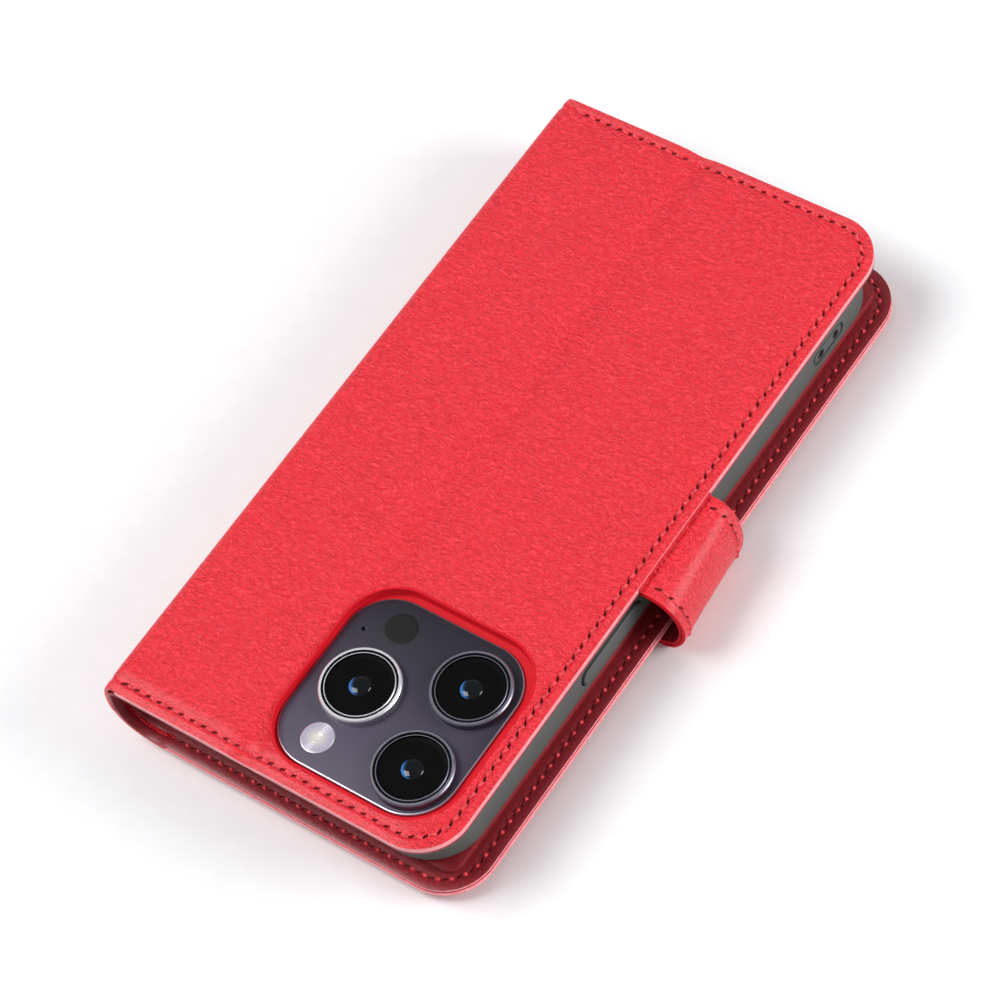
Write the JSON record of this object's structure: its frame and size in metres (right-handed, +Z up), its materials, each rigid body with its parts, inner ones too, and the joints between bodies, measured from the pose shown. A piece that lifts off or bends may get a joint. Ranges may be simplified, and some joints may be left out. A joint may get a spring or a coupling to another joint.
{
  "type": "phone wallet case",
  "caption": "Book-style phone wallet case in grained leather with a moulded phone shell, camera window, stepped card pockets and a magnetic snap strap.",
  "frame": {"origin": "middle of the closed case on the surface it rests on, under the centre of its bounding box", "axes": "+X across the case from spine to clasp, +Y along its length from the camera end to the bottom end, +Z up through the front cover, the phone and then the back cover"},
  "size_m": [0.085, 0.155, 0.0185],
  "materials": {
    "red_leather": "satin grained synthetic leather",
    "lining_leather": "matt fine-grained lining",
    "window_trim": "smooth satin strip",
    "thread": "twisted polyester thread",
    "fibre_board": "pressed fibre",
    "shell_tpu": "matt moulded soft plastic",
    "adhesive_sheet": "matt",
    "magnet_steel": "plated",
    "phone_metal": "satin anodised",
    "phone_glass": "polished",
    "back_glass": "frosted",
    "plateau_glass": "polished",
    "ring_metal": "polished",
    "lens_glass": "polished",
    "flash_plastic": "moulded diffuser"
  },
  "bodies": {
    "back_cover": {"back_leather": "red_leather", "back_board_clasp_side": "fibre_board", "back_board_spine_side": "fibre_board", "back_lining": "lining_leather", "camera_window_trim": "window_trim", "back_stitching": "thread", "strap_anchor": "red_leather", "phone_shell": "shell_tpu", "shell_adhesive_pad": "adhesive_sheet", "phone_frame": "phone_metal", "phone_screen": "phone_glass", "phone_back_glass": "back_glass", "camera_plateau": "plateau_glass", "camera_ring_1": "ring_metal", "camera_ring_2": "ring_metal", "camera_ring_3": "ring_metal", "camera_glass_1": "lens_glass", "camera_glass_2": "lens_glass", "camera_glass_3": "lens_glass", "flash_lens": "flash_plastic", "depth_sensor_window": "lens_glass"},
    "spine": {"spine_leather": "red_leather", "spine_lining": "lining_leather"},
    "front_cover": {"front_leather": "red_leather", "front_board": "fibre_board", "front_lining": "lining_leather", "front_stitching": "thread", "front_magnet": "magnet_steel", "cash_pocket": "lining_leather", "card_pocket_1": "lining_leather", "card_pocket_2": "lining_leather", "card_pocket_3": "lining_leather", "pocket_stitching": "thread"},
    "strap": {"strap_leather": "red_leather", "strap_lining": "lining_leather", "strap_stitching": "thread"},
    "strap_tab": {"tab_leather": "red_leather", "tab_lining": "lining_leather", "tab_magnet": "magnet_steel", "tab_stitching": "thread"},
    "power_button": {"power_button_cover": "shell_tpu", "power_key": "phone_metal"},
    "volume_up_button": {"volume_up_cover": "shell_tpu", "volume_up_key": "phone_metal"},
    "volume_down_button": {"volume_down_cover": "shell_tpu", "volume_down_key": "phone_metal"}
  },
  "joints": [
    {"name": "spine_fold", "type": "hinge", "parent": "back_cover", "child": "spine", "pos_m": [-0.04087, 0, 0.01845], "axis": [0, 1, 0], "range_deg": [0, 180], "deforming": ["strap_leather", "strap_lining", "strap_stitching", "tab_leather", "tab_lining", "tab_magnet", "tab_stitching"]},
    {"name": "cover_fold", "type": "hinge", "parent": "spine", "child": "front_cover", "pos_m": [-0.03277, 0, 0.0021], "axis": [0, 1, 0], "range_deg": [0, 180], "deforming": ["strap_leather", "strap_lining", "strap_stitching", "tab_leather", "tab_lining", "tab_magnet", "tab_stitching"]},
    {"name": "strap_swing", "type": "hinge", "parent": "back_cover", "child": "strap", "pos_m": [0.03523, 0, 0.0177], "axis": [0, -1, 0], "range_deg": [0, 110]},
    {"name": "tab_fold", "type": "hinge", "parent": "strap", "child": "strap_tab", "pos_m": [0.03903, 0, 0], "axis": [0, -1, 0], "range_deg": [0, 100]},
    {"name": "power_press", "type": "slide", "parent": "back_cover", "child": "power_button", "axis": [-1, 0, 0], "range_m": [0, 0.00035], "stiffness_N_per_m": 6000},
    {"name": "volume_up_press", "type": "slide", "parent": "back_cover", "child": "volume_up_button", "axis": [1, 0, 0], "range_m": [0, 0.00035], "stiffness_N_per_m": 6000},
    {"name": "volume_down_press", "type": "slide", "parent": "back_cover", "child": "volume_down_button", "axis": [1, 0, 0], "range_m": [0, 0.00035], "stiffness_N_per_m": 6000}
  ]
}
